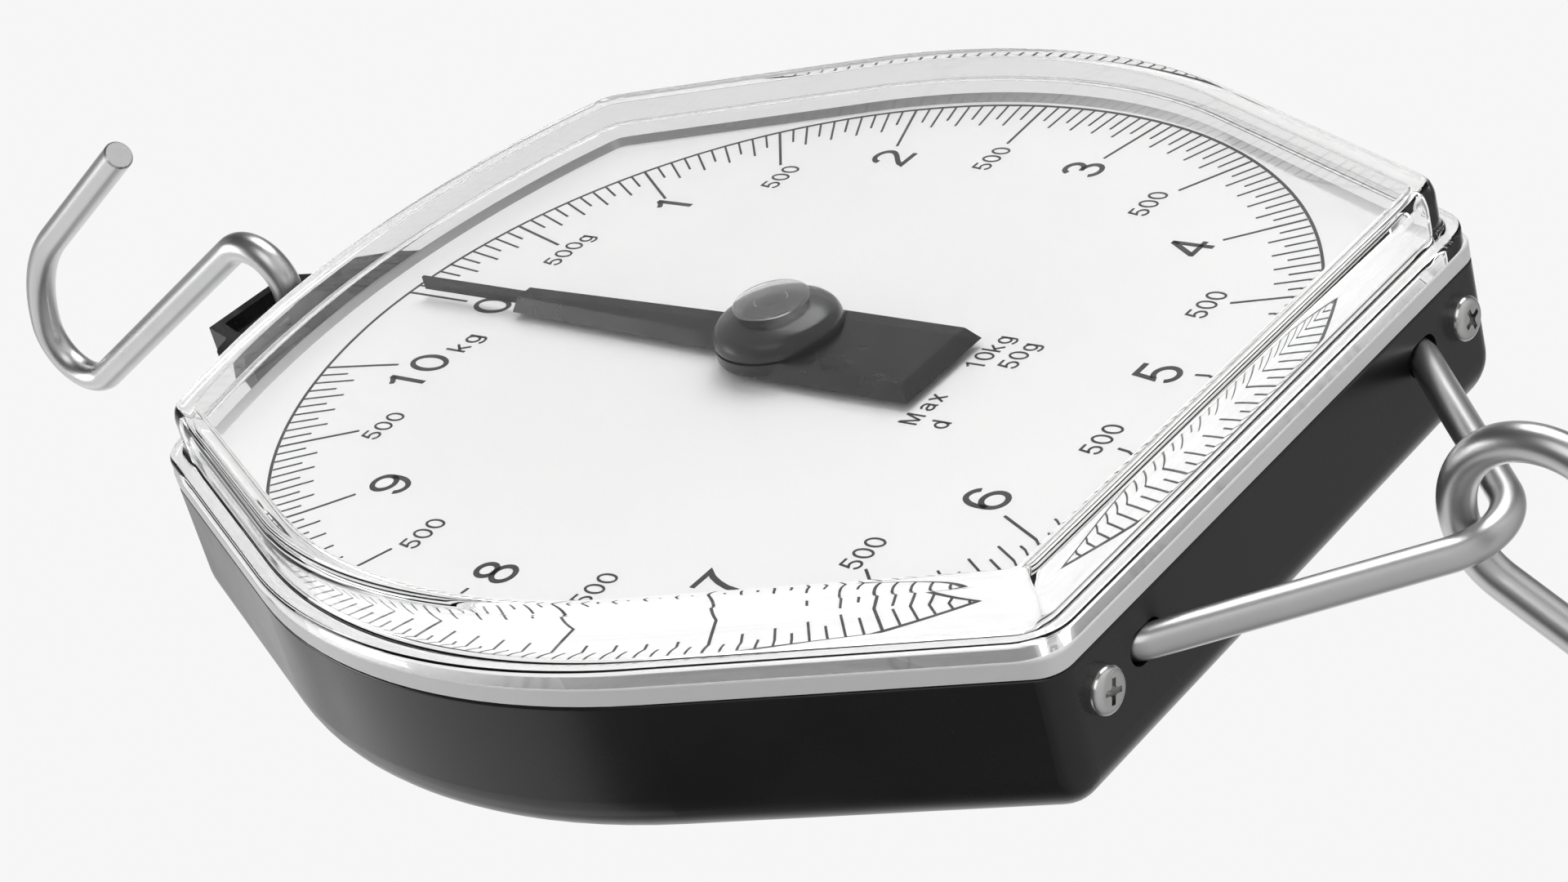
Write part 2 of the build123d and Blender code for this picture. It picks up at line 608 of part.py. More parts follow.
# ---- outside fixings --------------------------------------------------------------------------
def pan_screw(shank_r, shank_length):
    """Cross-recessed pan-head screw, head up, with its seat at z = 0."""
    head = Cylinder(PAN_R, PAN_H, align=(Align.CENTER, Align.CENTER, Align.MIN))
    head = fillet(edges_at(head, PAN_H), 1.1)
    cross = Box(3.4, 0.8, 2.0) + Box(0.8, 3.4, 2.0) + Cylinder(0.75, 2.4)
    shank = Cylinder(shank_r, shank_length, align=(Align.CENTER, Align.CENTER, Align.MAX))
    return head + shank - Pos(0, 0, PAN_H) * cross


def case_screws():
    """Two screws through the bottom wall into the chassis flange."""
    wall = BOTTOM_Y - RIM
    return both_sides(lambda s: Pos(s * CASE_SCREW_X, wall, CASE_SCREW_Z) * Rot(90, 0, 0)
                      * Rot(0, 0, 20 * s) * pan_screw(CASE_SCREW_R, CASE_SCREW_LENGTH))


def bezel_screws():
    """Four screws from the back, up the case's tubes into the bezel."""
    shank = BEZEL_BACK - LUG_SEAT
    return Compound(children=[Pos(x, y, LUG_SEAT) * Rot(180, 0, 0) * pan_screw(BEZEL_SCREW_R, shank)
                              for x, y in LUG_SPOTS])


PIECES = {
    "rear_case": rear_case,
    "front_bezel": front_bezel,
    "case_gasket": case_gasket,
    "dial_plate": dial_plate,
    "lens_cover": lens_cover,
    "cap_bumper": cap_bumper,
    "chassis": chassis,
    "front_bridge": front_bridge,
    "bridge_standoffs": bridge_standoffs,
    "bridge_screws": bridge_screws,
    "front_bush": front_bush,
    "rear_bush": rear_bush,
    "rack_guide": rack_guide,
    "guide_screws": guide_screws,
    "upper_anchors": upper_anchors,
    "upper_anchor_pins": upper_anchor_pins,
    "springs": springs,
    "lower_anchors": lower_anchors,
    "lower_anchor_pins": lower_anchor_pins,
    "crosshead": crosshead,
    "bail": bail,
    "bail_nuts": bail_nuts,
    "rack": rack,
    "rack_screws": rack_screws,
    "spindle": spindle,
    "spindle_clip": spindle_clip,
    "pinion": pinion,
    "pointer": pointer,
    "pointer_cap": pointer_cap,
    "top_hook": top_hook,
    "load_hook": load_hook,
    "case_screws": case_screws,
    "bezel_screws": bezel_screws,
}

HANG_Y = 171.6               # inside top of the top hook's bend
HANG_Z = -20.0


def place(piece):
    """Turn a piece from the dial's frame to the row's frame."""
    return Pos(0, HANG_Z, -HANG_Y) * Rot(90, 0, 0) * piece


if __name__ == "__main__":
    os.makedirs("parts", exist_ok=True)
    for name, maker in PIECES.items():
        export_step(place(maker()), f"parts/{name}.step")
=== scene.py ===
"""Looks for the hanging spring scale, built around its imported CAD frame.

New pieces are drawn in the dial's frame, in millimetres: x to the right of the face, y up, z out of
the face, zero at the spindle. row() turns such a point into the CAD's frame, in metres.
"""
import json
import math

import bmesh
import bpy
from mathutils import Matrix, Vector

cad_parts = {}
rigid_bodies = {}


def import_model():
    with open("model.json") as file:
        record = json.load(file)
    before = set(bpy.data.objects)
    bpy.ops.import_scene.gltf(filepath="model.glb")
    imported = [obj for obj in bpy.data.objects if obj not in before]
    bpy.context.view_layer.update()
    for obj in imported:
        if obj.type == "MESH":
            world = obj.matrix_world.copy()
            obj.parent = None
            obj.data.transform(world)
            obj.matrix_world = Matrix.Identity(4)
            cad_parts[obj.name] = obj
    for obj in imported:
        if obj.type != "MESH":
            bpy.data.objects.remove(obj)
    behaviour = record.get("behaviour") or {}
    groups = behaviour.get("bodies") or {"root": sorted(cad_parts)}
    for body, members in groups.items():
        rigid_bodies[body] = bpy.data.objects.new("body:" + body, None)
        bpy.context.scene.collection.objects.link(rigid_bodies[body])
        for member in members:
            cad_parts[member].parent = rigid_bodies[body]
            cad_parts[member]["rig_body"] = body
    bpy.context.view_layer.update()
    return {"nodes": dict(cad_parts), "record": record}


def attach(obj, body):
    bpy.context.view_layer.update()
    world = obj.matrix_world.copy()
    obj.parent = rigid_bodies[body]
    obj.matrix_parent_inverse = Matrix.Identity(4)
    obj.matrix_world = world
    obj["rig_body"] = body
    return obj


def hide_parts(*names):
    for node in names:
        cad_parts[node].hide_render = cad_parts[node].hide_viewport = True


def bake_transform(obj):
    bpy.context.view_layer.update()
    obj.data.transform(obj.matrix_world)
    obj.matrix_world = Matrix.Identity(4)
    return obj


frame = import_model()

HANG_Y = 171.6               # dial frame: inside top of the top hook's bend, the CAD's origin
HANG_Z = -20.0

# ---- dial, face outline and levels, as in the CAD (mm) ----------------------------------------
SIDE_R = 76.4
UPPER_FLANK = math.radians(26.6)
LOWER_FLANK = math.radians(-24.3)
TOP_R = 140.0
TOP_CENTRE_Y = -58.5
BOTTOM_Y = -76.9
RIM = 3.7
LENS_TOP = 9.5
LENS_T = 2.0
LENS_WALL = 1.1              # the cover's wall stands this far outside the window
LENS_BEND_Z = 6.9            # above this level the wall bends inwards until it leans this much
LENS_BEND_R = 4.2
LENS_LEAN = math.radians(24)
LENS_EDGE_R = 1.5
LENS_INNER_R = 0.6
LENS_FOOT_R = 1.2
LENS_CORNER = 4.3            # corner radius of the cover, on the window outline
LENS_LIFT = 0.03             # keeps the cover clear of the bezel it stands on
FLANGE_EDGE_R = 0.7
FLANGE_TOP = 2.25
BEZEL_FRONT = -0.2
DIAL_FACE = -1.2


def row(p):
    """A point of the dial's frame, in mm, as a point of the CAD's frame, in metres."""
    return (p[0] / 1000, (HANG_Z - p[2]) / 1000, (p[1] - HANG_Y) / 1000)


# ---- mesh helpers -----------------------------------------------------------------------------
def mesh_piece(name, points, faces, body, material, nodes=(), smooth=30, uvs=None):
    """A closed mesh from dial-frame points, riding on a body and standing for CAD nodes."""
    mesh = bpy.data.meshes.new(name)
    mesh.from_pydata([row(p) for p in points], [], faces)
    if uvs is not None:
        layer = mesh.uv_layers.new(name="along")
        for loop in mesh.loops:
            layer.data[loop.index].uv = uvs[loop.vertex_index]
    bm = bmesh.new()
    bm.from_mesh(mesh)
    bmesh.ops.recalc_face_normals(bm, faces=bm.faces)
    for edge in bm.edges:
        if len(edge.link_faces) == 2:
            edge.smooth = edge.calc_face_angle(0) < math.radians(smooth)
    for face in bm.faces:
        face.smooth = True
    bm.to_mesh(mesh)
    bm.free()
    piece = bpy.data.objects.new(name, mesh)
    bpy.context.scene.collection.objects.link(piece)
    mesh.materials.append(material)
    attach(piece, body)
    if nodes:
        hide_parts(*nodes)
    return piece


def arc(centre, radius, start, end, steps=8):
    """Points of an arc from one angle to another, both ends included."""
    return [(centre[0] + radius * math.cos(start + (end - start) * k / steps),
             centre[1] + radius * math.sin(start + (end - start) * k / steps))
            for k in range(steps + 1)]


def corner_arc(before, corner, after, radius, steps):
    """Arc of a radius that rounds a corner between two straight directions."""
    a, b, c = Vector(before), Vector(corner), Vector(after)
    u, v = (a - b).normalized(), (c - b).normalized()
    half = u.angle(v) / 2
    start = b + u * (radius / math.tan(half))
    centre = b + (u + v).normalized() * (radius / math.sin(half))
    first = start - centre
    turn = math.pi - 2 * half
    sign = 1 if u.x * v.y - u.y * v.x < 0 else -1
    return [centre + Matrix.Rotation(sign * turn * k / steps, 2) @ first for k in range(steps + 1)]


SIDE_STEPS, TOP_STEPS, CORNER_STEPS = 64, 48, 8
TANGENT_RUN = 20             # length of the direction sent to corner_arc; any will do


def outline(grow):
    """Points of the window outline moved out by grow, with the cover's corners, always as many."""
    side, bottom, top = SIDE_R + grow, BOTTOM_Y - grow, TOP_R + grow
    hi = Vector((side * math.cos(UPPER_FLANK), side * math.sin(UPPER_FLANK)))
    lo = Vector((side * math.cos(LOWER_FLANK), side * math.sin(LOWER_FLANK)))
    along = Vector((-math.sin(UPPER_FLANK), math.cos(UPPER_FLANK)))
    rel = hi - Vector((0, TOP_CENTRE_Y))
    b = rel.dot(along)
    run = -b + math.sqrt(b * b - rel.dot(rel) + top * top)
    shoulder = hi + along * run
    down = Vector((math.sin(LOWER_FLANK), -math.cos(LOWER_FLANK)))
    foot = lo + down * ((lo.y - bottom) / math.cos(LOWER_FLANK))
    radius = LENS_CORNER + grow
    rise = math.atan2(shoulder.y - TOP_CENTRE_Y, shoulder.x)
    tangent = shoulder + Vector((-math.sin(rise), math.cos(rise))) * TANGENT_RUN
    upper = corner_arc(hi, shoulder, tangent, radius, CORNER_STEPS)
    lower = corner_arc((0, bottom), foot, lo, radius, CORNER_STEPS)
    right = [Vector(p) for p in arc((0, 0), side, LOWER_FLANK, UPPER_FLANK, SIDE_STEPS)]
    end = upper[-1]
    start_angle = math.atan2(end.y - TOP_CENTRE_Y, end.x)
    crown = [Vector(p) for p in arc((0, TOP_CENTRE_Y), (end - Vector((0, TOP_CENTRE_Y))).length,
                                    start_angle, math.pi - start_angle, TOP_STEPS)]
    half = lower + right + upper
    mirrored = [Vector((-p.x, p.y)) for p in reversed(half)]
    return half + crown[1:-1] + mirrored


def rings_mesh(rings, closed=False):
    """Points and faces of a skin through rings of equally many points: a loop, or capped."""
    points, faces = [], []
    count = len(rings[0])
    for ring in rings:
        points += ring
    last = len(rings) if closed else len(rings) - 1
    for k in range(last):
        a, b = k * count, ((k + 1) % len(rings)) * count
        for i in range(count):
            j = (i + 1) % count
            faces.append((a + i, a + j, b + j, b + i))
    if not closed:
        faces.append(tuple(range(count)))
        faces.append(tuple(range((len(rings) - 1) * count, len(rings) * count)))
    return points, faces


def contour(grow, z):
    """The window outline moved out by grow, at a level."""
    return [(p.x, p.y, z) for p in outline(grow)]


def lathe(name, profile, body, material, nodes, steps=96):
    """A turned piece: (radius, z) pairs from one end of the axis to the other."""
    turns = [2 * math.pi * k / steps for k in range(steps)]
    rings = [[(radius * math.cos(turn), radius * math.sin(turn), z) for turn in turns]
             for radius, z in profile]
    points, faces = rings_mesh(rings)
    return mesh_piece(name, points, faces, body, material, nodes)


ARC_STEP = 0.6               # mm of wire between points in a bend


def bent_path(points, radii):
    """Straight runs joined by tangent arcs, as dense points."""
    points = [Vector(p) for p in points]
    path = [points[0]]
    for k, radius in enumerate(radii, start=1):
        a, b, c = points[k - 1], points[k], points[k + 1]
        u, v = (a - b).normalized(), (c - b).normalized()
        half = u.angle(v) / 2
        centre = b + (u + v).normalized() * (radius / math.sin(half))
        start = b + u * (radius / math.tan(half)) - centre
        axis = u.cross(v).normalized()
        turn = -(math.pi - 2 * half)
        steps = max(8, int(radius * abs(turn) / ARC_STEP))
        path += [centre + Matrix.Rotation(turn * i / steps, 3, axis) @ start
                 for i in range(steps + 1)]
    path.append(points[-1])
    return path


def wire_piece(name, path, radius, body, material, nodes, around=40, chamfer=0.3):
    """A round wire along a path, its two cut ends slightly broken."""
    tangents = []
    for k in range(len(path)):
        a, b = path[max(k - 1, 0)], path[min(k + 1, len(path) - 1)]
        tangents.append((b - a).normalized())
    side = tangents[0].orthogonal().normalized()
    rings, uvs, far = [], [], 0.0

    def ring(centre, r, u, v, distance):
        uvs.extend((i / around, distance / 1000) for i in range(around))
        return [tuple(centre + u * (r * math.cos(2 * math.pi * i / around))
                      + v * (r * math.sin(2 * math.pi * i / around))) for i in range(around)]

    for k, (centre, tangent) in enumerate(zip(path, tangents)):
        side = (side - tangent * side.dot(tangent)).normalized()
        across = tangent.cross(side)
        if k:
            far += (path[k] - path[k - 1]).length
        if k == 0:
            rings.append(ring(centre, radius - chamfer, side, across, far))
            rings.append(ring(centre + tangent * chamfer, radius, side, across, far))
        elif k == len(path) - 1:
            rings.append(ring(centre - tangent * chamfer, radius, side, across, far))
            rings.append(ring(centre, radius - chamfer, side, across, far))
        else:
            rings.append(ring(centre, radius, side, across, far))
    points, faces = rings_mesh(rings)
    return mesh_piece(name, points, faces, body, material, nodes, smooth=40, uvs=uvs)


# ---- materials --------------------------------------------------------------------------------
TEXTURE_LOW, TEXTURE_HIGH = 0.3, 0.7   # the part of a noise texture's range that is used
GRAIN_HEIGHT = 0.000004                # of moulded plastic, in metres
SCRATCH_HEIGHT = 0.000003              # of worked metal, in metres
CLEAR_IOR, MILKY_IOR = 1.49, 1.45


def new_material(name):
    material = bpy.data.materials.new(name)
    material.use_nodes = True
    tree = material.node_tree
    return material, tree, tree.nodes["Principled BSDF"]


def noise(tree, scale, detail=4.0, roughness=0.6, stretch=None, source="Object"):
    """A noise texture, with its coordinates stretched along one or more axes."""
    coords = tree.nodes.new("ShaderNodeTexCoord")
    texture = tree.nodes.new("ShaderNodeTexNoise")
    texture.inputs["Scale"].default_value = scale
    texture.inputs["Detail"].default_value = detail
    texture.inputs["Roughness"].default_value = roughness
    if stretch:
        mapping = tree.nodes.new("ShaderNodeMapping")
        mapping.inputs["Scale"].default_value = stretch
        tree.links.new(coords.outputs[source], mapping.inputs["Vector"])
        tree.links.new(mapping.outputs["Vector"], texture.inputs["Vector"])
    else:
        tree.links.new(coords.outputs[source], texture.inputs["Vector"])
    return texture.outputs["Fac"]


def vary(tree, value, low, high, target):
    """Spread a 0 to 1 texture over a range and send it to a socket."""
    spread = tree.nodes.new("ShaderNodeMapRange")
    spread.inputs["From Min"].default_value = TEXTURE_LOW
    spread.inputs["From Max"].default_value = TEXTURE_HIGH
    spread.inputs["To Min"].default_value = low
    spread.inputs["To Max"].default_value = high
    tree.links.new(value, spread.inputs["Value"])
    tree.links.new(spread.outputs["Result"], target)


def tint(tree, value, dark, light, target):
    """Blend between two colours by a texture."""
    ramp = tree.nodes.new("ShaderNodeValToRGB")
    ramp.color_ramp.elements[0].position = TEXTURE_LOW
    ramp.color_ramp.elements[0].color = (*dark, 1)
    ramp.color_ramp.elements[1].position = TEXTURE_HIGH
    ramp.color_ramp.elements[1].color = (*light, 1)
    tree.links.new(value, ramp.inputs["Fac"])
    tree.links.new(ramp.outputs["Color"], target)


def bump(tree, shader, value, distance):
    """Raise the surface by a texture."""
    node = tree.nodes.new("ShaderNodeBump")
    node.inputs["Distance"].default_value = distance
    node.inputs["Strength"].default_value = 1.0
    tree.links.new(value, node.inputs["Height"])
    tree.links.new(node.outputs["Normal"], shader.inputs["Normal"])


def moulded(name, dark, light, rough_low, rough_high, grain=2500, level=0.5):
    """Moulded grey plastic: a fine grain, with a slow drift in gloss and shade."""
    material, tree, shader = new_material(name)
    tint(tree, noise(tree, 14), (dark,) * 3, (light,) * 3, shader.inputs["Base Color"])
    vary(tree, noise(tree, 35, detail=6), rough_low, rough_high, shader.inputs["Roughness"])
    shader.inputs["Specular IOR Level"].default_value = level
    bump(tree, shader, noise(tree, grain, detail=2), GRAIN_HEIGHT)
    return material


def metal(name, dark, light, rough_low, rough_high, stretch, source="Object",
          scratch=SCRATCH_HEIGHT):
    """Worked metal: fine streaks one way in its gloss and surface, slow drift in shade."""
    material, tree, shader = new_material(name)
    shader.inputs["Metallic"].default_value = 1.0
    tint(tree, noise(tree, 60), dark, light, shader.inputs["Base Color"])
    streaks = noise(tree, 1.0, detail=5, roughness=0.7, stretch=stretch, source=source)
    vary(tree, streaks, rough_low, rough_high, shader.inputs["Roughness"])
    if scratch:
        bump(tree, shader, streaks, scratch)
    return material


def clear(name):
    """Clear moulded plastic that lets light fall through it."""
    material, tree, shader = new_material(name)
    shader.inputs["Base Color"].default_value = (0.985, 0.987, 0.985, 1)
    shader.inputs["Transmission Weight"].default_value = 1.0
    shader.inputs["IOR"].default_value = CLEAR_IOR
    vary(tree, noise(tree, 30), 0.0, 0.012, shader.inputs["Roughness"])
    output = tree.nodes["Material Output"]
    paths = tree.nodes.new("ShaderNodeLightPath")
    through = tree.nodes.new("ShaderNodeBsdfTransparent")
    through.inputs["Color"].default_value = (0.95, 0.95, 0.95, 1)
    mix = tree.nodes.new("ShaderNodeMixShader")
    tree.links.new(paths.outputs["Is Shadow Ray"], mix.inputs["Fac"])
    tree.links.new(shader.outputs["BSDF"], mix.inputs[1])
    tree.links.new(through.outputs["BSDF"], mix.inputs[2])
    tree.links.new(mix.outputs["Shader"], output.inputs["Surface"])
    return material


def milky(name):
    """Clear plastic with a slight haze in it."""
    material, tree, shader = new_material(name)
    shader.inputs["Base Color"].default_value = (0.8, 0.8, 0.8, 1)
    shader.inputs["Transmission Weight"].default_value = 0.9
    shader.inputs["IOR"].default_value = MILKY_IOR
    vary(tree, noise(tree, 60), 0.03, 0.09, shader.inputs["Roughness"])
    return material


case_black = moulded("case_black", 0.009, 0.012, 0.24, 0.32)
bezel_white = moulded("bezel_white", 0.80, 0.86, 0.30, 0.40)
gasket_rubber = moulded("gasket_rubber", 0.008, 0.016, 0.6, 0.8, grain=900)
dial_white = moulded("dial_white", 0.86, 0.89, 0.55, 0.65, grain=4000, level=0.3)
print_black = moulded("print_black", 0.012, 0.02, 0.5, 0.6, grain=3000)
pointer_black = moulded("pointer_black", 0.009, 0.013, 0.22, 0.3)
chassis_black = moulded("chassis_black", 0.02, 0.035, 0.4, 0.55, grain=700)
clear_plastic = clear("clear_plastic")
clear_pad = milky("clear_pad")
wire_steel = metal("wire_steel", (0.60, 0.60, 0.605), (0.66, 0.66, 0.665), 0.31, 0.35,
                   (10, 4, 1), "UV", scratch=0)
bright_screw = metal("bright_screw", (0.58, 0.575, 0.57), (0.68, 0.68, 0.675), 0.16, 0.26,
                     (900, 900, 900))
turned_steel = metal("turned_steel", (0.5, 0.5, 0.51), (0.6, 0.6, 0.61), 0.2, 0.35,
                     (400, 2500, 400))
zinc_plate = metal("zinc_plate", (0.5, 0.51, 0.53), (0.62, 0.62, 0.6), 0.3, 0.45,
                   (300, 300, 1500))
spring_steel = metal("spring_steel", (0.3, 0.31, 0.33), (0.42, 0.42, 0.43), 0.25, 0.4,
                     (60, 20, 1), "UV")
brass = metal("brass", (0.56, 0.42, 0.17), (0.7, 0.55, 0.26), 0.22, 0.36, (500, 500, 500))
FINISHES = {
    "case_black": case_black, "bezel_white": bezel_white, "gasket_rubber": gasket_rubber,
    "dial_white": dial_white, "clear_plastic": clear_plastic, "chassis_black": chassis_black,
    "zinc_plate": zinc_plate, "brass": brass, "bright_screw": bright_screw,
    "turned_steel": turned_steel, "spring_steel": spring_steel, "wire_steel": wire_steel,
    "pointer_black": pointer_black,
}

node_slots = {s["node"]: s["material_slot"] for s in frame["record"]["subparts"]}
for node_name, node in frame["nodes"].items():
    node.data.materials.clear()
    node.data.materials.append(FINISHES[node_slots[node_name]])


# ---- clear cover ------------------------------------------------------------------------------
def lens():
    """Clear cover: a flange, a foot fillet, and a wall that bends inwards to the flat front."""
    quarter = math.pi / 2
    bottom = BEZEL_FRONT + LENS_LIFT
    ceiling = LENS_TOP - LENS_T
    outer = [(RIM, bottom)]
    outer += arc((RIM - FLANGE_EDGE_R, FLANGE_TOP - FLANGE_EDGE_R), FLANGE_EDGE_R, 0, quarter)
    outer += arc((LENS_WALL + LENS_FOOT_R, FLANGE_TOP + LENS_FOOT_R), LENS_FOOT_R,
                 -quarter, -2 * quarter)
    outer += arc((LENS_WALL - LENS_BEND_R, LENS_BEND_Z), LENS_BEND_R, 0, LENS_LEAN, 14)
    bend_end = outer[-1]
    rim_z = LENS_TOP - LENS_EDGE_R
    rim_start_z = rim_z + LENS_EDGE_R * math.sin(LENS_LEAN)
    rim_start_g = bend_end[0] - (rim_start_z - bend_end[1]) * math.tan(LENS_LEAN)
    outer += arc((rim_start_g - LENS_EDGE_R * math.cos(LENS_LEAN), rim_z), LENS_EDGE_R,
                 LENS_LEAN, quarter, 12)
    inner = [(-LENS_T, bottom)]
    inner += arc((-LENS_T - LENS_INNER_R, ceiling - LENS_INNER_R), LENS_INNER_R, 0, quarter, 16)
    rings = [contour(g, z) for g, z in outer[::-1] + inner]
    points, faces = rings_mesh(rings)
    return mesh_piece("lens", points, faces, "case", clear_plastic,
                      ("lens_cover",), smooth=20)


# (radius, z) of the clear pad: from its front, round its edge, to the hollow in its back
BUMPER_PROFILE = [(0.01, 7.45), (5.35, 7.45), (5.55, 7.25), (5.55, 7.0), (2.45, 7.0),
                  (2.35, 7.1), (2.35, 7.15), (0.01, 7.15)]


def bumper():
    return lathe("bumper_pad", BUMPER_PROFILE, "case", clear_pad,
                 ("cap_bumper",))


# ---- dial print -------------------------------------------------------------------------------
PRINT_LOW = DIAL_FACE - 0.03
PRINT_HIGH = DIAL_FACE + 0.06
CIRCLE_R = 75.2
CIRCLE_HALF = 0.24           # half the width of the circle line
DEG_PER_KG = 34.2857
MARKS_PER_KG = 20
MARKS = 201
MARK_END = CIRCLE_R - 0.3    # the outer ends of the graduations lie under the circle line
HALF_KILO_MARK = (62.8, 0.42)    # radius of the inner end, width
HUNDRED_GRAM_MARK = (68.5, 0.34)
FIFTY_GRAM_MARK = (70.5, 0.34)


def dial_scale():
    """Graduations each 50 g over 10 kg, and the full circle line outside them."""
    points, faces = [], []

    def prism(corners):
        base = len(points)
        count = len(corners)
        points.extend((x, y, z) for z in (PRINT_LOW, PRINT_HIGH) for x, y in corners)
        faces.append(tuple(base + i for i in range(count)))
        faces.append(tuple(base + count + i for i in range(count)))
        for i in range(count):
            j = (i + 1) % count
            faces.append((base + i, base + j, base + count + j, base + count + i))

    for step in range(MARKS):
        angle = math.radians(DEG_PER_KG * step / MARKS_PER_KG)
        out = Vector((math.sin(angle), math.cos(angle)))
        side = Vector((out.y, -out.x))
        if step % 10 == 0:
            inner, width = HALF_KILO_MARK
        else:
            inner, width = FIFTY_GRAM_MARK if step % 2 else HUNDRED_GRAM_MARK
        a, b = out * inner, out * MARK_END
        half = side * width / 2
        prism([a - half, b - half, b + half, a + half])
    mesh_piece("dial_graduations", points, faces, "case", print_black)
    turn = [2 * math.pi * k / 360 for k in range(360)]
    near, far = CIRCLE_R - CIRCLE_HALF, CIRCLE_R + CIRCLE_HALF
    rings = [[(r * math.cos(t), r * math.sin(t), z) for t in turn]
             for r, z in ((near, PRINT_LOW), (far, PRINT_LOW),
                          (far, PRINT_HIGH), (near, PRINT_HIGH))]
    circle, circle_faces = rings_mesh(rings, closed=True)
    mesh_piece("dial_circle", circle, circle_faces, "case", print_black)


def bow(cx, cy, rx, ry, start, end, steps):
    """Points of part of an ellipse, by angles in degrees."""
    return [(cx + rx * math.cos(math.radians(start + (end - start) * k / steps)),
             cy + ry * math.sin(math.radians(start + (end - start) * k / steps)))
            for k in range(steps + 1)]


ADVANCE = 0.777              # from one glyph to the next, in capital heights
ODD_ADVANCES = {"k": 0.698, "x": 0.698, "M": 1.163}


def glyph_strokes():
    """Centre lines of a plain grotesque's strokes, in capital heights."""
    six = [bow(0.335, 0.715, 0.232, 0.23, 15, 90, 8)[:-1]
           + bow(0.335, 0.5, 0.27, 0.445, 90, 180, 14) + [(0.068, 0.33)],
           bow(0.33, 0.315, 0.255, 0.26, 0, 360, 32)]
    nine = [[(0.655 - x, 1 - y) for x, y in stroke] for stroke in six]
    return {
        "0": [bow(0.325, 0.5, 0.265, 0.445, 0, 360, 40)],
        "1": [[(0.395, 0.0), (0.395, 1.0)],
              [(0.385, 0.95), (0.31, 0.86), (0.235, 0.80), (0.15, 0.76)]],
        "2": [bow(0.325, 0.70, 0.25, 0.245, 175, -32, 18)
              + [(0.42, 0.44), (0.23, 0.28), (0.115, 0.165), (0.062, 0.055), (0.62, 0.055)]],
        "3": [bow(0.315, 0.735, 0.21, 0.21, 165, -90, 18) + [(0.255, 0.525)],
              [(0.30, 0.525)] + bow(0.315, 0.29, 0.25, 0.235, 90, -165, 22)],
        "4": [[(0.46, 0.0), (0.46, 1.0)], [(0.46, 0.96), (0.07, 0.30)],
              [(0.015, 0.285), (0.635, 0.285)]],
        "5": [[(0.585, 0.945), (0.18, 0.945), (0.105, 0.49)]
              + bow(0.32, 0.32, 0.25, 0.265, 137, -162, 22)],
        "6": six,
        "7": [[(0.045, 0.945), (0.60, 0.945), (0.47, 0.78), (0.35, 0.54), (0.265, 0.27),
               (0.235, 0.0)]],
        "8": [bow(0.325, 0.735, 0.21, 0.21, 0, 360, 32),
              bow(0.325, 0.29, 0.255, 0.235, 0, 360, 32)],
        "9": nine,
        "k": [[(0.055, 0.0), (0.055, 1.0)], [(0.07, 0.27), (0.46, 0.70)],
              [(0.20, 0.42), (0.46, 0.0)]],
        "g": [bow(0.28, 0.365, 0.22, 0.31, 0, 360, 28),
              [(0.505, 0.72), (0.505, -0.05)] + bow(0.285, -0.06, 0.22, 0.17, -5, -160, 14)],
        "M": [[(0.055, 0.0), (0.055, 0.98)], [(0.085, 0.96), (0.395, 0.06)],
              [(0.395, 0.06), (0.705, 0.96)], [(0.735, 0.98), (0.735, 0.0)]],
        "a": [bow(0.27, 0.52, 0.205, 0.155, 165, 0, 14) + [(0.475, 0.12), (0.51, 0.0)],
              [(0.475, 0.42), (0.27, 0.385)] + bow(0.225, 0.21, 0.17, 0.165, 105, 280, 14)
              + [(0.40, 0.10), (0.475, 0.26)]],
        "x": [[(0.035, 0.0), (0.475, 0.72)], [(0.475, 0.0), (0.035, 0.72)]],
        "d": [bow(0.28, 0.365, 0.22, 0.31, 0, 360, 28), [(0.505, 0.0), (0.505, 1.0)]],
    }


GLYPHS = glyph_strokes()
MITRE_LIMIT = 0.4            # least cosine that a mitre divides by


def ribbon(stroke, width):
    """Left and right edges of a stroke of even width, mitred at its points."""
    loop = (Vector(stroke[0]) - Vector(stroke[-1])).length < 1e-6
    line = [Vector(p) for p in (stroke[:-1] if loop else stroke)]
    count = len(line)
    left, right = [], []
    for k, point in enumerate(line):
        before = line[k - 1] if k or loop else None
        after = line[(k + 1) % count] if k < count - 1 or loop else None
        runs = [(b - a).normalized() for a, b in ((before, point), (point, after))
                if a is not None and b is not None]
        normals = [Vector((-run.y, run.x)) for run in runs]
        across = sum(normals, Vector((0, 0))).normalized()
        reach = width / 2 / max(across.dot(normals[0]), MITRE_LIMIT)
        left.append(point + across * reach)
        right.append(point - across * reach)
    return left, right, loop


def lettering(name, lines):
    """Printed text. Each line is (text, centre of its ink, capital height, stroke width)."""
    points, faces = [], []
    for text, centre, height, width in lines:
        pen, strokes = 0.0, []
        for letter in text:
            strokes += [[(x + pen, y) for x, y in stroke] for stroke in GLYPHS[letter]]
            pen += ODD_ADVANCES.get(letter, ADVANCE)
        span = [x for stroke in strokes for x, y in stroke]
        middle = (min(span) + max(span)) / 2
        for stroke in strokes:
            left, right, loop = ribbon(stroke, width / height)
            rings = []
            for a, b in zip(left, right):
                (ax, ay), (bx, by) = [(centre[0] + (p.x - middle) * height,
                                       centre[1] + (p.y - 0.5) * height) for p in (a, b)]
                rings.append([(ax, ay, PRINT_LOW), (bx, by, PRINT_LOW),
                              (bx, by, PRINT_HIGH), (ax, ay, PRINT_HIGH)])
            stroke_points, stroke_faces = rings_mesh(rings, closed=loop)
            base = len(points)
            points += stroke_points
            faces += [tuple(base + i for i in face) for face in stroke_faces]
    return mesh_piece(name, points, faces, "case", print_black)


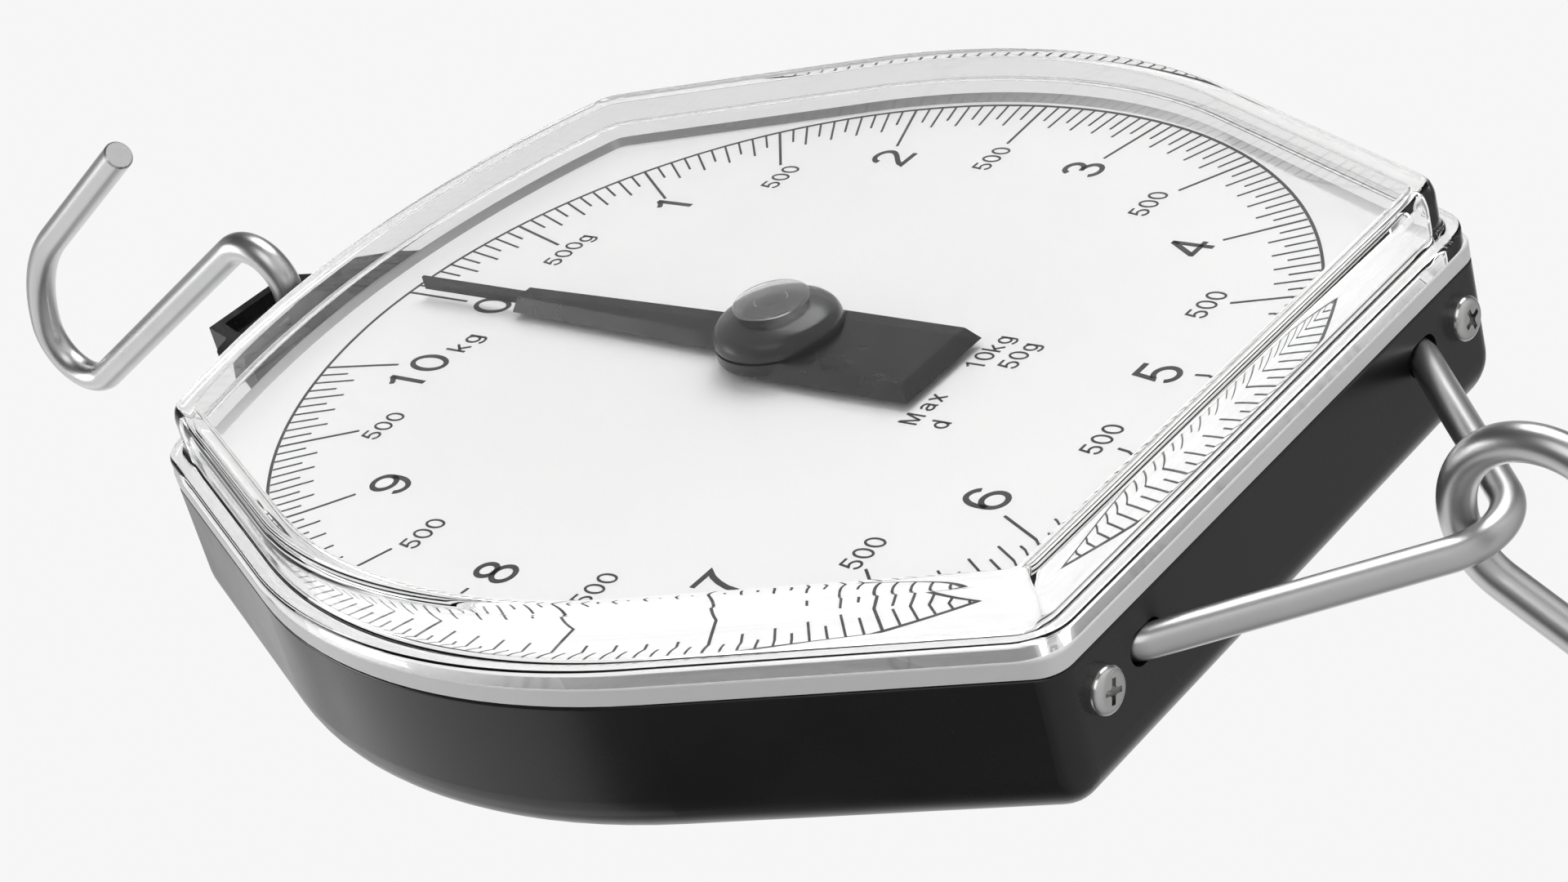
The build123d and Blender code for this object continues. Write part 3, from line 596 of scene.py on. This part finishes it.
# centres of the figures' ink, the kilograms from 0 and the halves from 1.5
KILO_SPOTS = [(0, 57.4), (33.5, 49.1), (55.0, 21.25), (57.5, -12.75), (39.6, -42.4),
              (8.5, -57.0), (-24.5, -51.9), (-51.2, -29.0), (-58.4, 3.6), (-45.5, 35.6),
              (-19.1, 55.1)]
HALF_SPOTS = [(45.6, 36.4), (57.75, 4.25), (49.9, -29.1), (26.1, -53.6), (-8.0, -58.75),
              (-39.75, -43.5), (-57.3, -13.0), (-54.1, 21.1), (-33.25, 48.9)]
FIRST_HALF_SPOT = (17.5, 57.0)
# capital height and stroke width of the sizes of type
KILO_TYPE = (6.85, 0.82)
HALF_TYPE = (3.25, 0.36)
UNIT_TYPE = (3.75, 0.42)
SMALL_TYPE = (3.1, 0.34)


def dial_numbers():
    lettering("kilogram_numbers", [(str(k), spot, *KILO_TYPE) for k, spot in enumerate(KILO_SPOTS)])
    lettering("half_kilogram_numbers", [("500", spot, *HALF_TYPE) for spot in HALF_SPOTS]
              + [("500g", FIRST_HALF_SPOT, *HALF_TYPE)])
    lettering("dial_words", [("kg", (-10.5, 53.5), *UNIT_TYPE),
                             ("Max", (-7.9, -29.9), *SMALL_TYPE),
                             ("10kg", (7.35, -30.2), *SMALL_TYPE),
                             ("d", (-10.75, -34.6), *SMALL_TYPE),
                             ("50g", (7.5, -35.0), *SMALL_TYPE)])


# ---- hooks and bail ---------------------------------------------------------------------------
HOOK_WIRE_R = 2.5
BAIL_WIRE_R = 2.25
# corners (y, z) of the top hook's centre line from its tip, and the radii of the bends between
TOP_HOOK_SPOTS = [(135.5, 18.1), (171.36, -6.86), (178.4, -38.03), (104.5, 9.6), (104.5, -18.9),
                  (133.0, -37.3)]
TOP_HOOK_BENDS = [29.0, 8.3, 7.1, 14.0]
# the load hook: its upper ring round the bail, the straight shank, then the bend and the tip
RING_CENTRE = (0, -115.9, -7.6)
RING_R = 11.6
RING_LEAN = math.radians(35)
RING_TAIL = 32               # straight end behind the ring
SHANK = 68.0
BEND_RUN = Vector((0, 7.0, 31.2))
TIP_RUN = Vector((0, 35.9, 25.0))
LOAD_HOOK_BENDS = [RING_R - 0.01, RING_R - 0.01, 8.3, 29.0]
# the bail: two uprights joined by a pointed loop
BAIL_HALF = 35.5
BAIL_APEX = -113.7
BAIL_SLOPE = 0.964
BAIL_LEVEL = -9.1
BAIL_TOP = -32.0
BAIL_BENDS = [5.0, 10.7, 5.0]
# the springs
SPRING_R = 5.0
SPRING_WIRE_R = 0.85
SPRING_PITCH = 1.8
SPRING_TURNS = 40
SPRING_X = 20.0
SPRING_LOW = -22.0
SPRING_LEVEL = -10.0
COIL_STEPS = 28


def top_hook():
    path = bent_path([(0, y, z) for y, z in TOP_HOOK_SPOTS], TOP_HOOK_BENDS)
    return wire_piece("top_hook_wire", path, HOOK_WIRE_R, "top_hook", wire_steel,
                      ("top_hook",))


def load_hook():
    along = Vector((0, math.cos(RING_LEAN), math.sin(RING_LEAN)))
    normal = Vector((0, math.sin(RING_LEAN), -math.cos(RING_LEAN)))
    centre = Vector(RING_CENTRE)
    rear, front = centre + normal * RING_R, centre - normal * RING_R
    bend = front - along * SHANK
    shoulder = bend + BEND_RUN
    points = [rear - along * RING_TAIL, rear + along * RING_R, front + along * RING_R, bend,
              shoulder, shoulder + TIP_RUN]
    path = bent_path(points, LOAD_HOOK_BENDS)
    return wire_piece("load_hook_wire", path, HOOK_WIRE_R, "load_hook", wire_steel,
                      ("load_hook",))


def bail():
    corner = BAIL_APEX + BAIL_HALF * BAIL_SLOPE
    points = [(-BAIL_HALF, BAIL_TOP, BAIL_LEVEL), (-BAIL_HALF, corner, BAIL_LEVEL),
              (0, BAIL_APEX, BAIL_LEVEL),
              (BAIL_HALF, corner, BAIL_LEVEL), (BAIL_HALF, BAIL_TOP, BAIL_LEVEL)]
    path = bent_path(points, BAIL_BENDS)
    return wire_piece("bail_wire", path, BAIL_WIRE_R, "carriage", wire_steel,
                      ("bail",))


def springs():
    """Each coil is drawn as a fixed helix between the case's plug and the carriage's plug, and
    rides on no body.
    """
    for side, label in ((-1, "left"), (1, "right")):
        path = []
        for k in range(SPRING_TURNS * COIL_STEPS + 1):
            turn = 2 * math.pi * k / COIL_STEPS
            path.append(Vector((side * SPRING_X + SPRING_R * math.sin(turn),
                                SPRING_LOW + SPRING_PITCH * k / COIL_STEPS,
                                SPRING_LEVEL + SPRING_R * math.cos(turn))))
        piece = wire_piece(f"spring_{label}", path, SPRING_WIRE_R, "case",
                           spring_steel, ("springs",) if side > 0 else (), around=12, chamfer=0.1)
        piece.parent = None
        del piece["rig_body"]
        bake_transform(piece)


# ---- pointer ----------------------------------------------------------------------------------
CAP_R = 9.35
CAP_TOP = 6.85
CAP_RIM_Z = 2.35
CAP_RIM_R = 2.6              # radius of the round between the cap's side and its dome
CAP_EDGE = 0.12
CAP_SIDE = 0.45              # height of the side below the round
CAP_BASE = 2.12
CAP_BORE, CAP_STEP = 1.6, 8.5
RIM_STEPS, DOME_STEPS = 10, 16


def cap():
    spring_line = CAP_RIM_Z + CAP_SIDE
    rise, rim_x = CAP_TOP - spring_line, CAP_R - CAP_RIM_R
    top_r = (rim_x ** 2 + rise ** 2 - CAP_RIM_R ** 2) / (2 * (rise - CAP_RIM_R))
    turn = math.atan2(top_r - rise, rim_x)
    profile = [(CAP_BORE, CAP_BASE), (CAP_STEP, CAP_BASE), (CAP_STEP, CAP_RIM_Z),
               (CAP_R - CAP_EDGE, CAP_RIM_Z), (CAP_R, CAP_RIM_Z + CAP_EDGE)]
    profile += arc((rim_x, spring_line), CAP_RIM_R, 0, turn, RIM_STEPS)
    profile += arc((0, CAP_TOP - top_r), top_r, turn, math.pi / 2, DOME_STEPS)[1:-1]
    profile += [(0.02, CAP_TOP)]
    return lathe("cap_dome", profile, "pointer", pointer_black,
                 ("pointer_cap",), steps=128)


lens()
bumper()
dial_scale()
dial_numbers()
top_hook()
load_hook()
bail()
springs()
cap()

# Curved faces of the CAD pieces shade smoothly, and their real edges stay crisp.
CREASE = math.radians(28)
for node_name, node in frame["nodes"].items():
    if not node.hide_render:
        for polygon in node.data.polygons:
            polygon.use_smooth = True
        split = node.modifiers.new("crisp_edges", "EDGE_SPLIT")
        split.split_angle = CREASE


# ---- studio -----------------------------------------------------------------------------------
SCALE_MIDDLE = (0, -0.03, -0.172)
# name, direction from the scale, distance, side and power of each softbox
LIGHTS = (
    ("key", (0.55, -0.80, 0.1), 1.2, 0.8, 9.2),
    ("overhead", (-0.55, -0.1, 0.9), 1.2, 0.5, 3),
    ("left_rim", (-0.62, 0.5, 0.62), 1.2, 1.2, 3.5),
    ("front_fill", (-0.7, -0.9, -0.3), 1.4, 0.9, 3.5),
)
BACKDROP = 0.925
GLOW = (0.5, 0.65, 0.57)     # the room's brightest part: up, behind and to the right
GLOW_LEVELS = ((-0.9, 0.12), (0.0, 0.06), (0.38, 0.07), (0.6, 0.2), (0.75, 0.5), (0.9, 0.9),
               (1.0, 0.95))  # cosine of the angle from it, level
CARD = (0.617, -0.475, 0.627)    # where the photograph's view is mirrored by the dial's face
CARD_COSINES = (0.965, 0.993)    # where the card begins, and where it is full
CARD_LEVEL = 0.1
FLOOR_HALF = 4.0
FLOOR_LEVEL = -0.78
FLOOR_LIFT = 0.42


def area_light(name, towards, distance, size, power):
    """A square softbox in a direction from the scale, facing it."""
    light = bpy.data.lights.new(name, "AREA")
    light.shape = "SQUARE"
    light.size = size
    light.energy = power
    lamp = bpy.data.objects.new(name, light)
    direction = Vector(towards).normalized()
    lamp.location = Vector(SCALE_MIDDLE) + direction * distance
    lamp.rotation_euler = direction.to_track_quat("Z", "Y").to_euler()
    bpy.context.scene.collection.objects.link(lamp)


def nearness(tree, coords, direction):
    """Cosine of the angle between a ray and a direction of the world."""
    node = tree.nodes.new("ShaderNodeVectorMath")
    node.operation = "DOT_PRODUCT"
    node.inputs[1].default_value = direction
    tree.links.new(coords.outputs["Generated"], node.inputs[0])
    return node.outputs["Value"]


def world():
    """White backdrop for the camera, and a dim room whose ceiling glows behind the scale."""
    scene_world = bpy.data.worlds.new("studio")
    bpy.context.scene.world = scene_world
    scene_world.use_nodes = True
    tree = scene_world.node_tree
    tree.nodes.clear()
    output = tree.nodes.new("ShaderNodeOutputWorld")
    paths = tree.nodes.new("ShaderNodeLightPath")
    coords = tree.nodes.new("ShaderNodeTexCoord")
    backdrop = tree.nodes.new("ShaderNodeBackground")
    backdrop.inputs["Color"].default_value = (1, 1, 1, 1)
    backdrop.inputs["Strength"].default_value = BACKDROP
    ambient = tree.nodes.new("ShaderNodeBackground")
    # the glow falls off with the angle from its direction
    ramp = tree.nodes.new("ShaderNodeValToRGB")
    spread = tree.nodes.new("ShaderNodeMapRange")
    spread.inputs["From Min"].default_value = -1
    tree.links.new(nearness(tree, coords, GLOW), spread.inputs["Value"])
    tree.links.new(spread.outputs["Result"], ramp.inputs["Fac"])
    stops = ramp.color_ramp.elements
    for position, level in GLOW_LEVELS:
        stop = stops.new((position + 1) / 2)
        stop.color = (level, level, level, 1)
    stops.remove(stops[0])
    tree.links.new(ramp.outputs["Color"], ambient.inputs["Color"])
    # rays that leave through the clear cover meet the backdrop too, but for a grey card that
    # keeps the cover's inner reflections from veiling the dial in the photograph's view
    behind = tree.nodes.new("ShaderNodeMapRange")
    behind.inputs["From Min"].default_value = CARD_COSINES[0]
    behind.inputs["From Max"].default_value = CARD_COSINES[1]
    behind.inputs["To Min"].default_value = 1.0
    behind.inputs["To Max"].default_value = CARD_LEVEL
    through = tree.nodes.new("ShaderNodeMath")
    through.operation = "MULTIPLY"
    seen = tree.nodes.new("ShaderNodeMath")
    seen.operation = "MAXIMUM"
    mix = tree.nodes.new("ShaderNodeMixShader")
    tree.links.new(nearness(tree, coords, CARD), behind.inputs["Value"])
    tree.links.new(behind.outputs["Result"], through.inputs[0])
    tree.links.new(paths.outputs["Is Transmission Ray"], through.inputs[1])
    tree.links.new(paths.outputs["Is Camera Ray"], seen.inputs[0])
    tree.links.new(through.outputs["Value"], seen.inputs[1])
    tree.links.new(seen.outputs["Value"], mix.inputs["Fac"])
    tree.links.new(ambient.outputs["Background"], mix.inputs[1])
    tree.links.new(backdrop.outputs["Background"], mix.inputs[2])
    tree.links.new(mix.outputs["Shader"], output.inputs["Surface"])


def floor():
    material, tree, shader = new_material("floor_paper")
    tint(tree, noise(tree, 3), (0.83,) * 3, (0.86,) * 3, shader.inputs["Base Color"])
    shader.inputs["Roughness"].default_value = 0.9
    # only camera rays see the lift: the paper stays pale away from the lamps, without
    # lighting the scale from below
    paths = tree.nodes.new("ShaderNodeLightPath")
    lift = tree.nodes.new("ShaderNodeMath")
    lift.operation = "MULTIPLY"
    lift.inputs[1].default_value = FLOOR_LIFT
    tree.links.new(paths.outputs["Is Camera Ray"], lift.inputs[0])
    tree.links.new(lift.outputs["Value"], shader.inputs["Emission Strength"])
    shader.inputs["Emission Color"].default_value = (1, 1, 1, 1)
    mesh = bpy.data.meshes.new("floor")
    corners = ((-1, -1), (1, -1), (1, 1), (-1, 1))
    mesh.from_pydata([(x * FLOOR_HALF, y * FLOOR_HALF, FLOOR_LEVEL) for x, y in corners],
                     [], [(0, 1, 2, 3)])
    mesh.materials.append(material)
    plane = bpy.data.objects.new("floor", mesh)
    bpy.context.scene.collection.objects.link(plane)


# the camera, fitted to the photograph's dial: lens in mm on a 36 mm sensor, place and axes
CAMERA_LENS = 77.96
CAMERA_PLACE = (-0.29938, -0.23521, -0.47101)
CAMERA_RIGHT = (0.59729, 0.23625, -0.76644)
CAMERA_UP = (0.51251, -0.84749, 0.13817)
CAMERA_FORWARD = (0.61691, 0.47534, 0.62728)


def camera():
    data = bpy.data.cameras.new("camera")
    data.lens = CAMERA_LENS
    data.sensor_width = 36.0
    data.clip_start = 0.01
    data.clip_end = 20.0
    eye = bpy.data.objects.new("camera", data)
    axes = (Vector(CAMERA_RIGHT), Vector(CAMERA_UP), -Vector(CAMERA_FORWARD))
    turn = Matrix(axes).transposed().to_4x4()
    eye.matrix_world = Matrix.Translation(CAMERA_PLACE) @ turn
    bpy.context.scene.collection.objects.link(eye)
    bpy.context.scene.camera = eye


world()
floor()
camera()
for softbox in LIGHTS:
    area_light(*softbox)
bpy.context.scene.view_settings.view_transform = "Standard"
bpy.context.scene.view_settings.look = "None"
